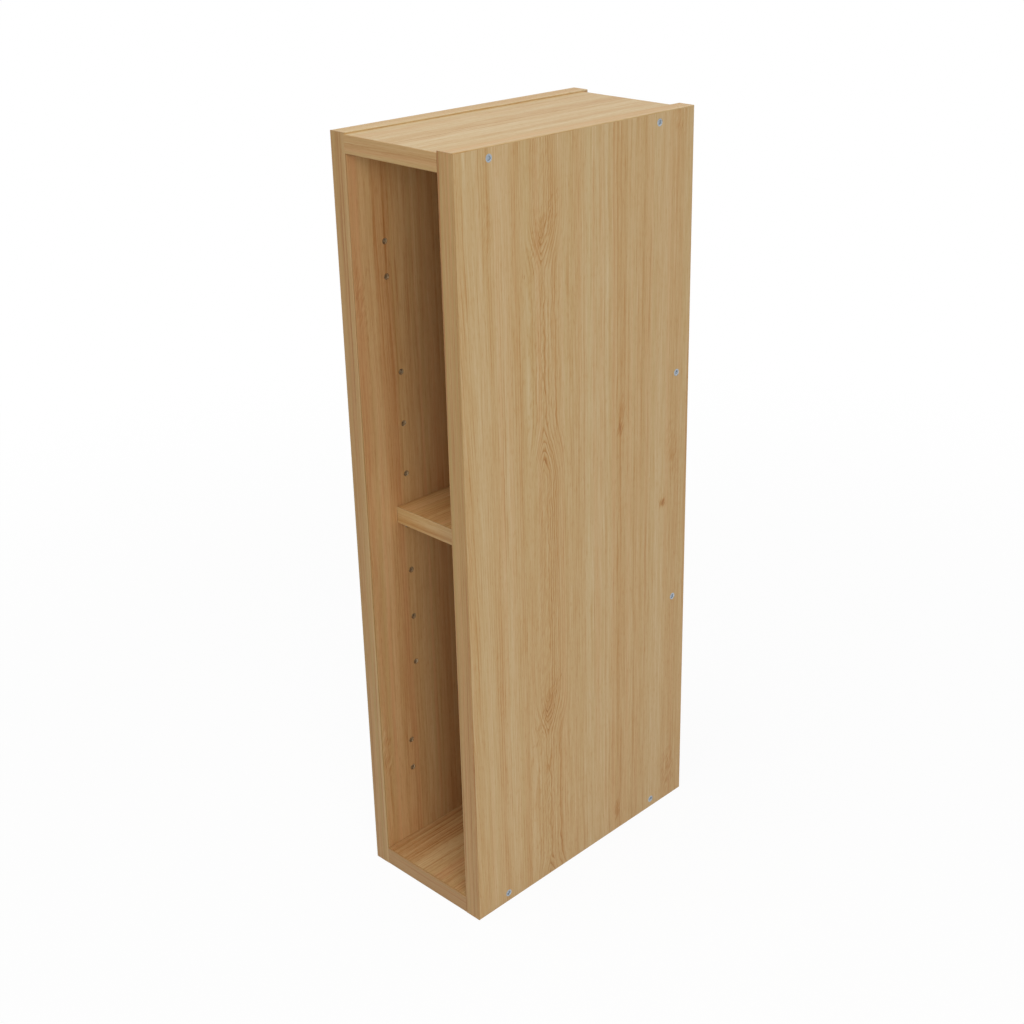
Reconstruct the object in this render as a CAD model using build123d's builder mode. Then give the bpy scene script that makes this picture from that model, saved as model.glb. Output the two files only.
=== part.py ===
from build123d import *
import math
import os

os.makedirs("parts", exist_ok=True)

# A narrow open kitchen wall unit, in millimetres. X runs across the unit, Y from its
# open front to the wall, Z up. The origin is the middle of the underside.
cabinet_width = 150.0
cabinet_depth = 300.0
cabinet_height = 735.0

# Boards and their edging. The top board sits a little below the ends of the sides,
# and the back board stands in front of the wall to leave room for the wall rail.
side_thickness = 18.0
bottom_thickness = 18.0
top_thickness = 16.0
back_thickness = 16.0
shelf_thickness = 16.0
edging_thickness = 1.0
edging_round = 0.5
top_recess = 1.5
rear_setback = 6.0
rail_gap = 10.0

# Shelf: set back from the front, with room to slide between the sides
shelf_front_setback = 35.0
shelf_side_gap = 0.5
shelf_rear_gap = 2.0

# System holes in the inner faces of the sides. The front rows are measured from the front
# face, and the rear row of shelf pins from the back board.
system_hole_radius = 2.5
system_hole_depth = 12.0
hinge_row = 38.0
hinge_hole_spacing = 32.0
hinge_pair_from_top = 115.5
hinge_pair_from_bottom = 111.5
front_pin_row = 49.0
rear_pin_row = 33.0
pin_lowest = 212.0
pin_pitch = 50.0
pin_count = 7
pin_count_below_shelf = 3

# One-piece connector screws through the sides into the other boards
screw_length = 50.0
screw_head_radius = 3.6
screw_radius = 2.5
screw_thread_root = 2.0
screw_thread_pitch = 2.5
screw_tip_length = 3.0
screw_socket_radius = 2.3
screw_socket_depth = 2.2
screw_sink = 0.1
screw_clearance = 0.05
screw_hole_spare = 3.0
screw_from_front = 40.0
screw_from_board_rear = 42.0
back_screw_from_bottom = 240.0
back_screw_from_top = 253.0

# Beech dowels beside the corner screws
dowel_radius = 4.0
dowel_length = 30.0
dowel_in_side = 11.0
dowel_chamfer = 1.0
dowel_end_gap = 1.0
dowel_clearance = 0.05
dowel_from_screw = 32.0

# Shelf pins: a peg in the side and an angle plate under the shelf
peg_length = 9.0
peg_clearance = 0.05
pin_plate = 1.6
pin_plate_width = 11.0
pin_plate_reach = 9.0
pin_plate_rise = 4.5
pin_plate_fall = 4.0
pin_corner = 1.5

# Adjustable hangers in the two upper rear corners. Sizes across are measured from the
# inner face of the side, towards the middle of the unit.
hanger_drop = 4.0
hanger_height = 56.0
hanger_length = 60.0
hanger_width = 17.0
hanger_wall = 2.0
hanger_base = 2.5
hanger_cover = 1.5
hanger_corner = 3.0
cover_lip = 1.0
cover_lip_depth = 2.0
cover_gap = 0.2
lug_length = 16.0
lug_screw_spacing = 36.0

# Screws that hold a hanger to the side
fixing_radius = 2.0
fixing_length = 16.0
fixing_head_radius = 4.0
fixing_head_height = 2.6
fixing_clearance = 0.05
fixing_hole_spare = 1.0
fixing_slot_width = 1.0
fixing_slot_depth = 1.2

# Steel carriage that slides to and from the wall inside a hanger
carriage_gap = 0.3
carriage_sheet = 1.2
carriage_nut_wall = 3.0
carriage_front_gap = 3.2
carriage_rear_gap = 1.0
carriage_travel_in = 4.0
carriage_travel_out = 5.0

# Hook lever on its pivot pin, which tilts by this many degrees each way
hook_tilt = 7.0
pivot_radius = 2.5
pivot_seat = 0.02
pivot_gap = 0.1
pivot_from_rear = 24.0
pivot_above_bottom = 10.5
hook_plate = 4.0
hook_boss_radius = 5.0
hook_boss_gap = 0.3
hook_web_width = 9.0
hook_arm_height = 12.0
hook_arm_rise = 10.0
hook_finger = 3.5
hook_finger_drop = 11.0
hook_mouth = 5.0
hook_round = 1.0
height_screw_rise = 28.0
nut_block_length = 6.0
nut_block_height = 10.0
nut_slot_gap = 0.15

# Adjusting screws of a hanger
adjuster_radius = 2.5
adjuster_neck_radius = 2.0
adjuster_gap = 0.1
adjuster_end_gap = 0.3
adjuster_spare = 3.0
height_head_radius = 3.5
height_head_length = 2.5
height_access_gap = 0.5
depth_head_radius = 4.0
depth_head_length = 2.5
depth_screw_rise = 8.0
collar_length = 1.5
adjuster_thread_depth = 0.4
adjuster_thread_pitch = 2.0
driver_slot_width = 1.2
driver_slot_depth = 1.4
driver_slot_rim = 1.2

# Opening in the back board behind each hanger, with room round the hook that tilts in it
hook_slot_side_room = 4.0
hook_slot_end_room = 3.0

# Planes that several pieces share
front = -cabinet_depth / 2
rear = cabinet_depth / 2
outer = cabinet_width / 2
inner = outer - side_thickness
board_rear = rear - rear_setback
top_upper = cabinet_height - top_recess
top_lower = top_upper - top_thickness
top_middle = top_upper - top_thickness / 2
bottom_middle = bottom_thickness / 2
back_rear = rear - rail_gap
back_front = back_rear - back_thickness
back_middle = back_rear - back_thickness / 2
pin_heights = [pin_lowest + pin_pitch * step for step in range(pin_count)]
peg_z = pin_lowest + pin_pitch * pin_count_below_shelf
shelf_lower = peg_z + pin_plate_rise
shelf_upper = shelf_lower + shelf_thickness
shelf_front = front + shelf_front_setback
shelf_rear = back_front - shelf_rear_gap
shelf_half = inner - shelf_side_gap
screw_rows = [front + screw_from_front, board_rear - screw_from_board_rear]
dowel_rows = [screw_rows[0] + dowel_from_screw, screw_rows[1] - dowel_from_screw]
back_screw_heights = [back_screw_from_bottom, cabinet_height - back_screw_from_top]
pin_rows = [front + front_pin_row, back_front - rear_pin_row]
hinge_centres = [hinge_pair_from_bottom, cabinet_height - hinge_pair_from_top]
hinge_heights = [
    centre + half * hinge_hole_spacing for centre in hinge_centres for half in (-0.5, 0.5)
]

# Planes of a hanger
hanger_upper = top_lower - hanger_drop
hanger_lower = hanger_upper - hanger_height
hanger_middle = (hanger_upper + hanger_lower) / 2
hanger_front = back_front - hanger_length
lug_front = hanger_front - lug_length
lug_screw_row = lug_front + lug_length / 2
lug_screw_heights = [hanger_middle + half * lug_screw_spacing for half in (-0.5, 0.5)]
cavity_low = hanger_base
cavity_high = hanger_width - hanger_cover
cavity_middle = (cavity_low + cavity_high) / 2
cavity_front = hanger_front + hanger_wall
cavity_z = (hanger_lower + hanger_wall, hanger_upper - hanger_wall)
lip_z = (cavity_z[0] + cover_gap, cavity_z[1] - cover_gap)
carriage_low = cavity_low + carriage_gap
carriage_high = cavity_high - carriage_gap
carriage_z = (lip_z[0] + cover_lip + carriage_gap, lip_z[1] - cover_lip - carriage_gap)
carriage_rear = back_front - carriage_travel_out - carriage_rear_gap
height_head_reach = height_head_length + adjuster_end_gap
carriage_front = cavity_front + carriage_front_gap + carriage_travel_in + height_head_reach
nut_wall_rear = carriage_front + carriage_nut_wall
pivot_y = back_front - pivot_from_rear
pivot_z = hanger_lower + pivot_above_bottom
height_screw_z = pivot_z + height_screw_rise
depth_screw_z = pivot_z + depth_screw_rise
hook_arm_low = pivot_z + hook_arm_rise
hook_arm_high = hook_arm_low + hook_arm_height
finger_front = back_rear + hook_mouth
finger_rear = finger_front + hook_finger
boss_low = carriage_low + carriage_sheet + hook_boss_gap
boss_high = carriage_high - carriage_sheet - hook_boss_gap
tilt = math.radians(hook_tilt)
nut_sway = height_screw_rise * math.sin(tilt)
nut_drop = height_screw_rise * (1 - math.cos(tilt)) + hook_web_width / 2 * math.tan(tilt)
nut_slot_radius = adjuster_radius + nut_drop + nut_slot_gap
hook_sweep = (back_rear - pivot_y) * math.sin(tilt) + hook_slot_end_room
height_screw_end = pivot_y + nut_sway + hook_web_width / 2 + adjuster_spare
depth_screw_end = nut_wall_rear + carriage_travel_out + adjuster_spare

sides = {"left": -1, "right": 1}


def block(x, y, z, mode=Mode.ADD):
    # a box from three (low, high) pairs
    middle = [(low + high) / 2 for low, high in (x, y, z)]
    with Locations(tuple(middle)):
        Box(x[1] - x[0], y[1] - y[0], z[1] - z[0], mode=mode)


def across(side, low, high):
    # x range of a stretch measured from the inner face of a side
    return sorted((side * (inner - low), side * (inner - high)))


def facing(x, y, z, direction):
    # plane at a point of a side, looking along X
    return Plane(origin=(x, y, z), x_dir=(0, 1, 0), z_dir=(direction, 0, 0))


def forward(side, depth_across, y, z):
    # plane at a point of a hanger, looking out of the open front
    return Plane(origin=(side * (inner - depth_across), y, z), x_dir=(1, 0, 0), z_dir=(0, -1, 0))


def rod(radius, length, mode=Mode.ADD):
    # a cylinder that runs back from the plane it is placed on
    below = (Align.CENTER, Align.CENTER, Align.MAX)
    Cylinder(radius, length, align=below, mode=mode)


def save(piece, name):
    piece.part.label = name
    export_step(piece.part, f"parts/{name}.step")


def corner_points(rows):
    return [(y, z) for y in rows for z in (bottom_middle, top_middle)]


def lug_screw_planes(side, depth_across):
    # planes of a hanger's fixing screws, looking away from the side
    return [facing(side * (inner - depth_across), lug_screw_row, z, -side) for z in lug_screw_heights]


# One connector screw along -Z, with its head at the origin
def screw_outline():
    shank_end = side_thickness + screw_thread_pitch
    points = [(0, 0), (screw_head_radius, 0)]
    points.append((screw_radius, screw_radius - screw_head_radius))
    points.append((screw_radius, -shank_end))
    turns = int((screw_length - screw_tip_length - shank_end) / screw_thread_pitch)
    for turn in range(turns):
        start = -shank_end - turn * screw_thread_pitch
        points.append((screw_thread_root, start - screw_thread_pitch * 0.3))
        points.append((screw_thread_root, start - screw_thread_pitch * 0.6))
        points.append((screw_radius, start - screw_thread_pitch))
    points.append((screw_thread_root, -screw_length + screw_tip_length))
    points.append((0, -screw_length))
    return points


with BuildPart() as connector_screw:
    with BuildSketch(Plane.XZ):
        with BuildLine():
            Polyline(*screw_outline(), close=True)
        make_face()
    revolve(axis=Axis.Z)
    with BuildSketch(Plane.XY):
        RegularPolygon(screw_socket_radius, 6)
    extrude(amount=-screw_socket_depth, mode=Mode.SUBTRACT)

# One dowel along -Z from its end at the origin
with BuildPart() as dowel:
    rod(dowel_radius, dowel_length)
    chamfer(dowel.edges(), length=dowel_chamfer)

# One fixing screw along -Z, with the underside of its head at the origin
with BuildPart() as fixing_screw:
    with Locations((0, 0, fixing_head_height)):
        rod(fixing_head_radius, fixing_head_height)
    fillet(fixing_screw.edges().group_by(Axis.Z)[-1], radius=fixing_head_height / 2)
    rod(fixing_radius, fixing_length)
    chamfer(fixing_screw.edges().group_by(Axis.Z)[0], length=fixing_radius / 2)
    with Locations((0, 0, fixing_head_height - fixing_slot_depth / 2)):
        Box(fixing_head_radius, fixing_slot_width, fixing_slot_depth, mode=Mode.SUBTRACT)
        Box(fixing_slot_width, fixing_head_radius, fixing_slot_depth, mode=Mode.SUBTRACT)


# Sides: edged on the front, top and bottom, and drilled alike on both hands
def make_side_board(side):
    with BuildPart() as board:
        x = sorted((side * inner, side * outer))
        z = (edging_thickness, cabinet_height - edging_thickness)
        block(x, (front + edging_thickness, rear), z)
        through = [facing(side * outer, y, z, side) for y, z in corner_points(screw_rows)]
        through += [facing(side * outer, back_middle, z, side) for z in back_screw_heights]
        with Locations(*through):
            CounterSinkHole(
                screw_radius + screw_clearance,
                screw_head_radius + screw_clearance + screw_sink,
                counter_sink_angle=90,
            )
        system = [(front + hinge_row, z) for z in hinge_heights]
        system += [(y, z) for y in pin_rows for z in pin_heights]
        with Locations(*[facing(side * inner, y, z, -side) for y, z in system]):
            Hole(system_hole_radius, depth=system_hole_depth)
        with Locations(*[facing(side * inner, y, z, -side) for y, z in corner_points(dowel_rows)]):
            Hole(dowel_radius + dowel_clearance, depth=dowel_in_side + dowel_end_gap)
        with Locations(*lug_screw_planes(side, 0)):
            Hole(
                fixing_radius + fixing_clearance,
                depth=fixing_length - hanger_base + fixing_hole_spare,
            )
    return board


for name, side in sides.items():
    side_x = sorted((side * inner, side * outer))
    behind_front = (front + edging_thickness, rear)
    save(make_side_board(side), f"{name}_side_board")

    with BuildPart() as front_edging:
        block(side_x, (front, front + edging_thickness), (0, cabinet_height))
        fillet(front_edging.edges().filter_by(Axis.Z).group_by(Axis.Y)[0], radius=edging_round)
    save(front_edging, f"{name}_side_front_edging")

    with BuildPart() as upper_edging:
        block(side_x, behind_front, (cabinet_height - edging_thickness, cabinet_height))
        fillet(upper_edging.edges().filter_by(Axis.Y).group_by(Axis.Z)[-1], radius=edging_round)
    save(upper_edging, f"{name}_side_top_edging")

    with BuildPart() as lower_edging:
        block(side_x, behind_front, (0, edging_thickness))
        fillet(lower_edging.edges().filter_by(Axis.Y).group_by(Axis.Z)[0], radius=edging_round)
    save(lower_edging, f"{name}_side_bottom_edging")


# Top and bottom boards between the sides
def make_cross_board(low, high):
    middle = (low + high) / 2
    with BuildPart() as board:
        block((-inner, inner), (front + edging_thickness, board_rear), (low, high))
        ends = [facing(side * inner, y, middle, side) for side in (-1, 1) for y in screw_rows]
        with Locations(*ends):
            Hole(
                screw_radius + screw_clearance,
                depth=screw_length - side_thickness + screw_hole_spare,
            )
        ends = [facing(side * inner, y, middle, side) for side in (-1, 1) for y in dowel_rows]
        with Locations(*ends):
            Hole(
                dowel_radius + dowel_clearance,
                depth=dowel_length - dowel_in_side + dowel_end_gap,
            )
    return board


def make_cross_edging(half, y, low, high):
    with BuildPart() as strip:
        block((-half, half), (y, y + edging_thickness), (low, high))
        fillet(strip.edges().filter_by(Axis.X).group_by(Axis.Y)[0], radius=edging_round)
    return strip


save(make_cross_board(top_lower, top_upper), "top_board")
save(make_cross_edging(inner, front, top_lower, top_upper), "top_front_edging")
save(make_cross_board(0, bottom_thickness), "bottom_board")
save(make_cross_edging(inner, front, 0, bottom_thickness), "bottom_front_edging")

# Back board between the top and bottom boards, open where the hooks pass through
with BuildPart() as back_board:
    block((-inner, inner), (back_front, back_rear), (bottom_thickness, top_lower))
    for side in sides.values():
        slot_half = hook_plate / 2 + hook_slot_side_room
        slot_x = across(side, cavity_middle - slot_half, cavity_middle + slot_half)
        slot_z = (hook_arm_low - hook_finger_drop - hook_sweep, hook_arm_high + hook_sweep)
        block(slot_x, (back_front, back_rear), slot_z, mode=Mode.SUBTRACT)
        with Locations(*[facing(side * inner, back_middle, z, side) for z in back_screw_heights]):
            Hole(
                screw_radius + screw_clearance,
                depth=screw_length - side_thickness + screw_hole_spare,
            )
save(back_board, "back_board")

with BuildPart() as shelf:
    block(
        (-shelf_half, shelf_half),
        (shelf_front + edging_thickness, shelf_rear),
        (shelf_lower, shelf_upper),
    )
save(shelf, "shelf")
save(make_cross_edging(shelf_half, shelf_front, shelf_lower, shelf_upper), "shelf_front_edging")

# Connector screws and dowels, in place
for name, side in sides.items():
    head_x = side * (outer - screw_sink)
    with BuildPart() as corner_screws:
        with Locations(*[facing(head_x, y, z, side) for y, z in corner_points(screw_rows)]):
            add(connector_screw.part)
    save(corner_screws, f"{name}_corner_screws")

    with BuildPart() as back_screws:
        with Locations(*[facing(head_x, back_middle, z, side) for z in back_screw_heights]):
            add(connector_screw.part)
    save(back_screws, f"{name}_back_screws")

for level, z in (("top", top_middle), ("bottom", bottom_middle)):
    with BuildPart() as dowels:
        ends = [
            facing(side * (inner + dowel_in_side), y, z, side)
            for side in sides.values()
            for y in dowel_rows
        ]
        with Locations(*ends):
            add(dowel.part)
    save(dowels, f"{level}_dowels")

# Shelf pins, one in each corner under the shelf
for name, side in sides.items():
    for place, y in zip(("front", "rear"), pin_rows):
        plate_y = (y - pin_plate_width / 2, y + pin_plate_width / 2)
        with BuildPart() as shelf_pin:
            block(across(side, 0, pin_plate), plate_y, (peg_z - pin_plate_fall, shelf_lower))
            block(across(side, 0, pin_plate_reach), plate_y, (shelf_lower - pin_plate, shelf_lower))
            corners = shelf_pin.edges().filter_by(Axis.X).group_by(Axis.Z)[0]
            corners += shelf_pin.edges().filter_by(Axis.Z).filter_by(
                lambda edge: abs(edge.center().X) < inner - pin_plate_reach + pin_plate / 2
            )
            fillet(corners, radius=pin_corner)
            with Locations(facing(side * inner, y, peg_z, -side)):
                rod(system_hole_radius - peg_clearance, peg_length)
        save(shelf_pin, f"{name}_{place}_shelf_pin")


# One adjusting screw along -Z: head, neck in its wall, collar behind the wall, thread
def adjuster_outline(head_radius, head_length, wall, length):
    collar_start = head_length + 2 * adjuster_end_gap + wall
    thread_start = collar_start + collar_length
    root = adjuster_radius - adjuster_thread_depth
    points = [(0, 0), (head_radius, 0), (head_radius, -head_length)]
    points.append((adjuster_neck_radius, -head_length))
    points.append((adjuster_neck_radius, -collar_start))
    points.append((head_radius, -collar_start))
    points.append((head_radius, -thread_start))
    for turn in range(int((length - thread_start) / adjuster_thread_pitch)):
        start = thread_start + turn * adjuster_thread_pitch
        points.append((root, -start))
        points.append((adjuster_radius, -start - adjuster_thread_pitch / 2))
    points.append((root, -length))
    points.append((0, -length))
    return points


def make_adjuster(head_radius, head_length, wall, length, plane):
    with BuildPart() as upright:
        with BuildSketch(Plane.XZ):
            with BuildLine():
                Polyline(*adjuster_outline(head_radius, head_length, wall, length), close=True)
            make_face()
        revolve(axis=Axis.Z)
        slot = 2 * (head_radius - driver_slot_rim)
        with Locations((0, 0, -driver_slot_depth / 2)):
            Box(slot, driver_slot_width, driver_slot_depth, mode=Mode.SUBTRACT)
            Box(driver_slot_width, slot, driver_slot_depth, mode=Mode.SUBTRACT)
    with BuildPart() as adjuster:
        with Locations(plane):
            add(upright.part)
    return adjuster


# Hangers: the carriage slides to set the depth, and the hook tilts on its pin to set the height
hanger_y = (hanger_front, back_front)
hanger_z = (hanger_lower, hanger_upper)
for name, side in sides.items():
    with BuildPart() as housing:
        block(across(side, 0, hanger_base), (lug_front, back_front), hanger_z)
        fillet(housing.edges().filter_by(Axis.X).group_by(Axis.Y)[0], radius=hanger_corner)
        block(across(side, hanger_base, cavity_high), hanger_y, hanger_z)
        cavity_x = across(side, cavity_low, cavity_high)
        block(cavity_x, (cavity_front, back_front), cavity_z, mode=Mode.SUBTRACT)
        with Locations(*lug_screw_planes(side, hanger_base)):
            Hole(fixing_radius + fixing_clearance, depth=hanger_base)
        with Locations(forward(side, cavity_middle, hanger_front, depth_screw_z)):
            Hole(adjuster_neck_radius + adjuster_gap, depth=hanger_wall)
        with Locations(forward(side, cavity_middle, hanger_front, height_screw_z)):
            Hole(height_head_radius + height_access_gap, depth=hanger_wall)
    save(housing, f"{name}_hanger_housing")

    with BuildPart() as cover:
        block(across(side, cavity_high, hanger_width), hanger_y, hanger_z)
        lip_x = across(side, cavity_high - cover_lip_depth, cavity_high)
        lip_y = (cavity_front + cover_gap, back_front - cover_gap)
        block(lip_x, lip_y, (lip_z[0], lip_z[0] + cover_lip))
        block(lip_x, lip_y, (lip_z[1] - cover_lip, lip_z[1]))
    save(cover, f"{name}_hanger_cover")

    with BuildPart() as fixing_screws:
        with Locations(*lug_screw_planes(side, hanger_base)):
            add(fixing_screw.part)
    save(fixing_screws, f"{name}_hanger_fixing_screws")

    pivot_plane = facing(side * (inner - carriage_low), pivot_y, pivot_z, side)
    with BuildPart() as carriage:
        block(across(side, carriage_low, carriage_high), (carriage_front, carriage_rear), carriage_z)
        gap_x = across(side, carriage_low + carriage_sheet, carriage_high - carriage_sheet)
        block(gap_x, (nut_wall_rear, carriage_rear), carriage_z, mode=Mode.SUBTRACT)
        with Locations(pivot_plane):
            Hole(pivot_radius + pivot_seat)
        with Locations(forward(side, cavity_middle, carriage_front, height_screw_z)):
            Hole(adjuster_neck_radius + adjuster_gap, depth=carriage_nut_wall)
        with Locations(forward(side, cavity_middle, carriage_front, depth_screw_z)):
            Hole(adjuster_radius + adjuster_gap, depth=carriage_nut_wall)
    save(carriage, f"{name}_hanger_carriage")

    with BuildPart() as pivot_pin:
        with Locations(pivot_plane):
            rod(pivot_radius, carriage_high - carriage_low)
    save(pivot_pin, f"{name}_hook_pivot_pin")

    plate_x = across(side, cavity_middle - hook_plate / 2, cavity_middle + hook_plate / 2)
    boss_x = across(side, boss_low, boss_high)
    web_y = (pivot_y - hook_web_width / 2, pivot_y + hook_web_width / 2)
    nut_y = (pivot_y - nut_block_length / 2, pivot_y + nut_block_length / 2)
    nut_z = (height_screw_z - nut_block_height / 2, height_screw_z + nut_block_height / 2)
    finger_low = hook_arm_low - hook_finger_drop
    with BuildPart() as hook:
        block(plate_x, web_y, (pivot_z, nut_z[1]))
        block(plate_x, (pivot_y, finger_rear), (hook_arm_low, hook_arm_high))
        block(plate_x, (finger_front, finger_rear), (finger_low, hook_arm_high))
        rear_edges = hook.edges().filter_by(Axis.X).group_by(Axis.Y)[-1].sort_by(Axis.Z)
        fillet(rear_edges[-1], radius=hook_finger)
        fillet(hook.edges().filter_by(Axis.X).group_by(Axis.Z)[1], radius=hook_round)
        with Locations(facing(side * (inner - boss_low), pivot_y, pivot_z, side)):
            rod(hook_boss_radius, boss_high - boss_low)
        block(boss_x, nut_y, nut_z)
        with Locations(facing(side * (inner - boss_low), pivot_y, pivot_z, side)):
            Hole(pivot_radius + pivot_gap)
        with Locations(forward(side, cavity_middle, web_y[0], height_screw_z)):
            Hole(nut_slot_radius, depth=hook_web_width)
    save(hook, f"{name}_hook")

    height_head_y = carriage_front - height_head_reach
    height_screw = make_adjuster(
        height_head_radius,
        height_head_length,
        carriage_nut_wall,
        height_screw_end - height_head_y,
        forward(side, cavity_middle, height_head_y, height_screw_z),
    )
    save(height_screw, f"{name}_height_screw")

    depth_head_y = hanger_front - adjuster_end_gap - depth_head_length
    depth_screw = make_adjuster(
        depth_head_radius,
        depth_head_length,
        hanger_wall,
        depth_screw_end - depth_head_y,
        forward(side, cavity_middle, depth_head_y, depth_screw_z),
    )
    save(depth_screw, f"{name}_depth_screw")
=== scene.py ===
import math
import random

import bmesh
import bpy
from mathutils import Matrix, Vector
from mathutils.geometry import tessellate_polygon


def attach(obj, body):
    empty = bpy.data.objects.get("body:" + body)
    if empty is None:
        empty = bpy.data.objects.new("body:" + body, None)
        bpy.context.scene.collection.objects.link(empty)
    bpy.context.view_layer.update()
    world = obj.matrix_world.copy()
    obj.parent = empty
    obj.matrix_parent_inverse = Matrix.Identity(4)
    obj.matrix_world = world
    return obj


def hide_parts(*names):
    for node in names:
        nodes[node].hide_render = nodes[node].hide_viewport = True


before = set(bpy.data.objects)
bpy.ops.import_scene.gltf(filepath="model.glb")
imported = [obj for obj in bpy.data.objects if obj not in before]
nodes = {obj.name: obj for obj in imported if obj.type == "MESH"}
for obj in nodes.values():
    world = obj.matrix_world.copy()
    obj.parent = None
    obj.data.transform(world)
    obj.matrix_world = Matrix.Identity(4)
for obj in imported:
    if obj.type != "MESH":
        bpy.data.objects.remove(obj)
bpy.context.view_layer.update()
print("frame loaded,", len(nodes), "nodes")


# A socket of a shader tree that can be used in sums, such as a + b, a * 2.0 or 1.0 - a
class Value:
    def __init__(self, socket):
        self.socket = socket
        self.tree = socket.id_data

    def __add__(self, other):
        return calc("ADD", self, other)

    def __sub__(self, other):
        return calc("SUBTRACT", self, other)

    def __rsub__(self, other):
        return calc("SUBTRACT", other, self)

    def __mul__(self, other):
        return calc("MULTIPLY", self, other)

    def __truediv__(self, other):
        return calc("DIVIDE", self, other)

    __rmul__ = __mul__


def feed(socket, value):
    if isinstance(value, Value):
        value.tree.links.new(value.socket, socket)
    else:
        socket.default_value = value


def put(tree, kind, inputs, **settings):
    node = tree.nodes.new("ShaderNode" + kind)
    for key, value in settings.items():
        setattr(node, key, value)
    for key, value in inputs.items():
        feed(node.inputs[key], value)
    return node


def result(tree, kind, inputs, output=0, **settings):
    return Value(put(tree, kind, inputs, **settings).outputs[output])


def calc(operation, *values):
    tree = next(value.tree for value in values if isinstance(value, Value))
    return result(tree, "Math", dict(enumerate(values)), operation=operation)


def size(value):
    return calc("ABSOLUTE", value)


def larger(first, second):
    return calc("MAXIMUM", first, second)


def diagonal(first, second):
    return calc("SQRT", first * first + second * second)


def splitXYZ(vector):
    return [Value(part) for part in put(vector.tree, "SeparateXYZ", {"Vector": vector}).outputs]


def joinXYZ(x, y, z):
    return result(x.tree, "CombineXYZ", {"X": x, "Y": y, "Z": z})


def stretch(vector, factors):
    return result(vector.tree, "VectorMath", {0: vector, 1: factors}, operation="MULTIPLY")


def swing(vector, factors, detail=1.0):
    # noise between about -1 and 1, stretched by a factor on each axis
    inputs = {"Vector": stretch(vector, factors), "Scale": 1.0, "Detail": detail}
    return calc("MULTIPLY_ADD", result(vector.tree, "TexNoise", inputs, "Fac"), 2.0, -1.0)


def evenSwing(vector, factor, detail):
    return swing(vector, (factor, factor, factor), detail)


def ease(value, low, high, start=0.0, end=1.0):
    # runs smoothly from start to end while the value runs from low to high
    inputs = {"Value": value, "From Min": low, "From Max": high, "To Min": start, "To Max": end}
    return result(value.tree, "MapRange", inputs, interpolation_type="SMOOTHSTEP")


def fall(value, low, high):
    return ease(value, low, high, 1.0, 0.0)


def blendColour(factor, first, second, mode="MIX"):
    inputs = {0: factor, 6: first, 7: second}
    return result(factor.tree, "Mix", inputs, 2, data_type="RGBA", blend_type=mode)


def ramp(value, stops):
    node = put(value.tree, "ValToRGB", {"Fac": value})
    elements = node.color_ramp.elements
    while len(elements) < len(stops):
        elements.new(0.5)
    for element, (place, colour) in zip(elements, stops):
        element.position = place
        element.color = colour
    return Value(node.outputs["Color"])


def relief(height, strength, distance):
    return result(height.tree, "Bump", {"Strength": strength, "Distance": distance, "Height": height})


def linear(red, green, blue):
    # a colour as a screen shows it, 0 to 255, in Blender's linear values
    parts = []
    for part in (red, green, blue):
        part /= 255
        parts.append(part / 12.92 if part <= 0.04045 else ((part + 0.055) / 1.055) ** 2.4)
    return (*parts, 1.0)


def openGroup(name, inputs):
    # inputs are labels with their usual values, and None stands for a vector
    group = bpy.data.node_groups.new(name, "ShaderNodeTree")
    for label, value in inputs.items():
        kind = "NodeSocketVector" if value is None else "NodeSocketFloat"
        socket = group.interface.new_socket(label, in_out="INPUT", socket_type=kind)
        if value is not None:
            socket.default_value = value
    entry = group.nodes.new("NodeGroupInput").outputs
    return group, {label: Value(entry[label]) for label in inputs}


def closeGroup(group, outputs):
    for label in outputs:
        kind = "NodeSocketColor" if label == "Colour" else "NodeSocketFloat"
        group.interface.new_socket(label, in_out="OUTPUT", socket_type=kind)
    leave = group.nodes.new("NodeGroupOutput").inputs
    for label, value in outputs.items():
        feed(leave[label], value)
    return group


def useGroup(tree, group, inputs):
    node = put(tree, "Group", inputs, node_tree=group)
    return {socket.name: Value(socket) for socket in node.outputs}


# How fine each noise of the printed oak is: across the grain, along it, from face to face
oakNoise = {
    "drift": (5.0, 3.0, 1.0),
    "ripple": (38.0, 11.0, 1.0),
    "islands": (150.0, 60.0, 1.0),
    "spacing": (42.0, 0.8, 1.0),
    "comeAndGo": (160.0, 9.0, 1.0),
    "broad": (30.0, 0.5, 2.0),
    "narrow": (100.0, 3.0, 2.0),
    "fine": (1100.0, 24.0, 3.0),
    "coarse": (480.0, 5.0, 3.0),
    "short": (1500.0, 130.0, 3.0),
    "ragged": (620.0, 130.0, 1.0),
    "blush": (58.0, 0.8, 5.0),
    "tint": (170.0, 1.4, 6.0),
}

# Measures of its figure, in metres unless a note says otherwise
oakShape = {
    "driftEdge": (-0.090, -0.058),  # the lines drift inward on this side of the heart
    "driftTop": 0.66,
    "wanderEdge": (0.020, 0.060),
    "ripple": 0.0014,
    "islands": 0.0016,
    "archesOpen": (0.47, 0.61),  # shares of a repeat
    "archesShut": (0.89, 1.0),
    "archLag": 0.03,
    "heartWidths": (0.028, 0.046),
    "sides": (1.2, 0.85),  # how closely the rings stand on each side of the heart
    "tipRound": 0.000007,  # square metres
    "uneven": 2.2,  # rings
    "ringStrength": (0.05, 0.80),
    "flameLength": 0.025,
    "flameWidth": 0.0090,
    "flameLean": -0.38,
    "tickLean": -0.35,
    "fibres": {"coarse": 0.8, "fine": 1.6, "short": -0.9, "level": 0.15},
}


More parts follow.
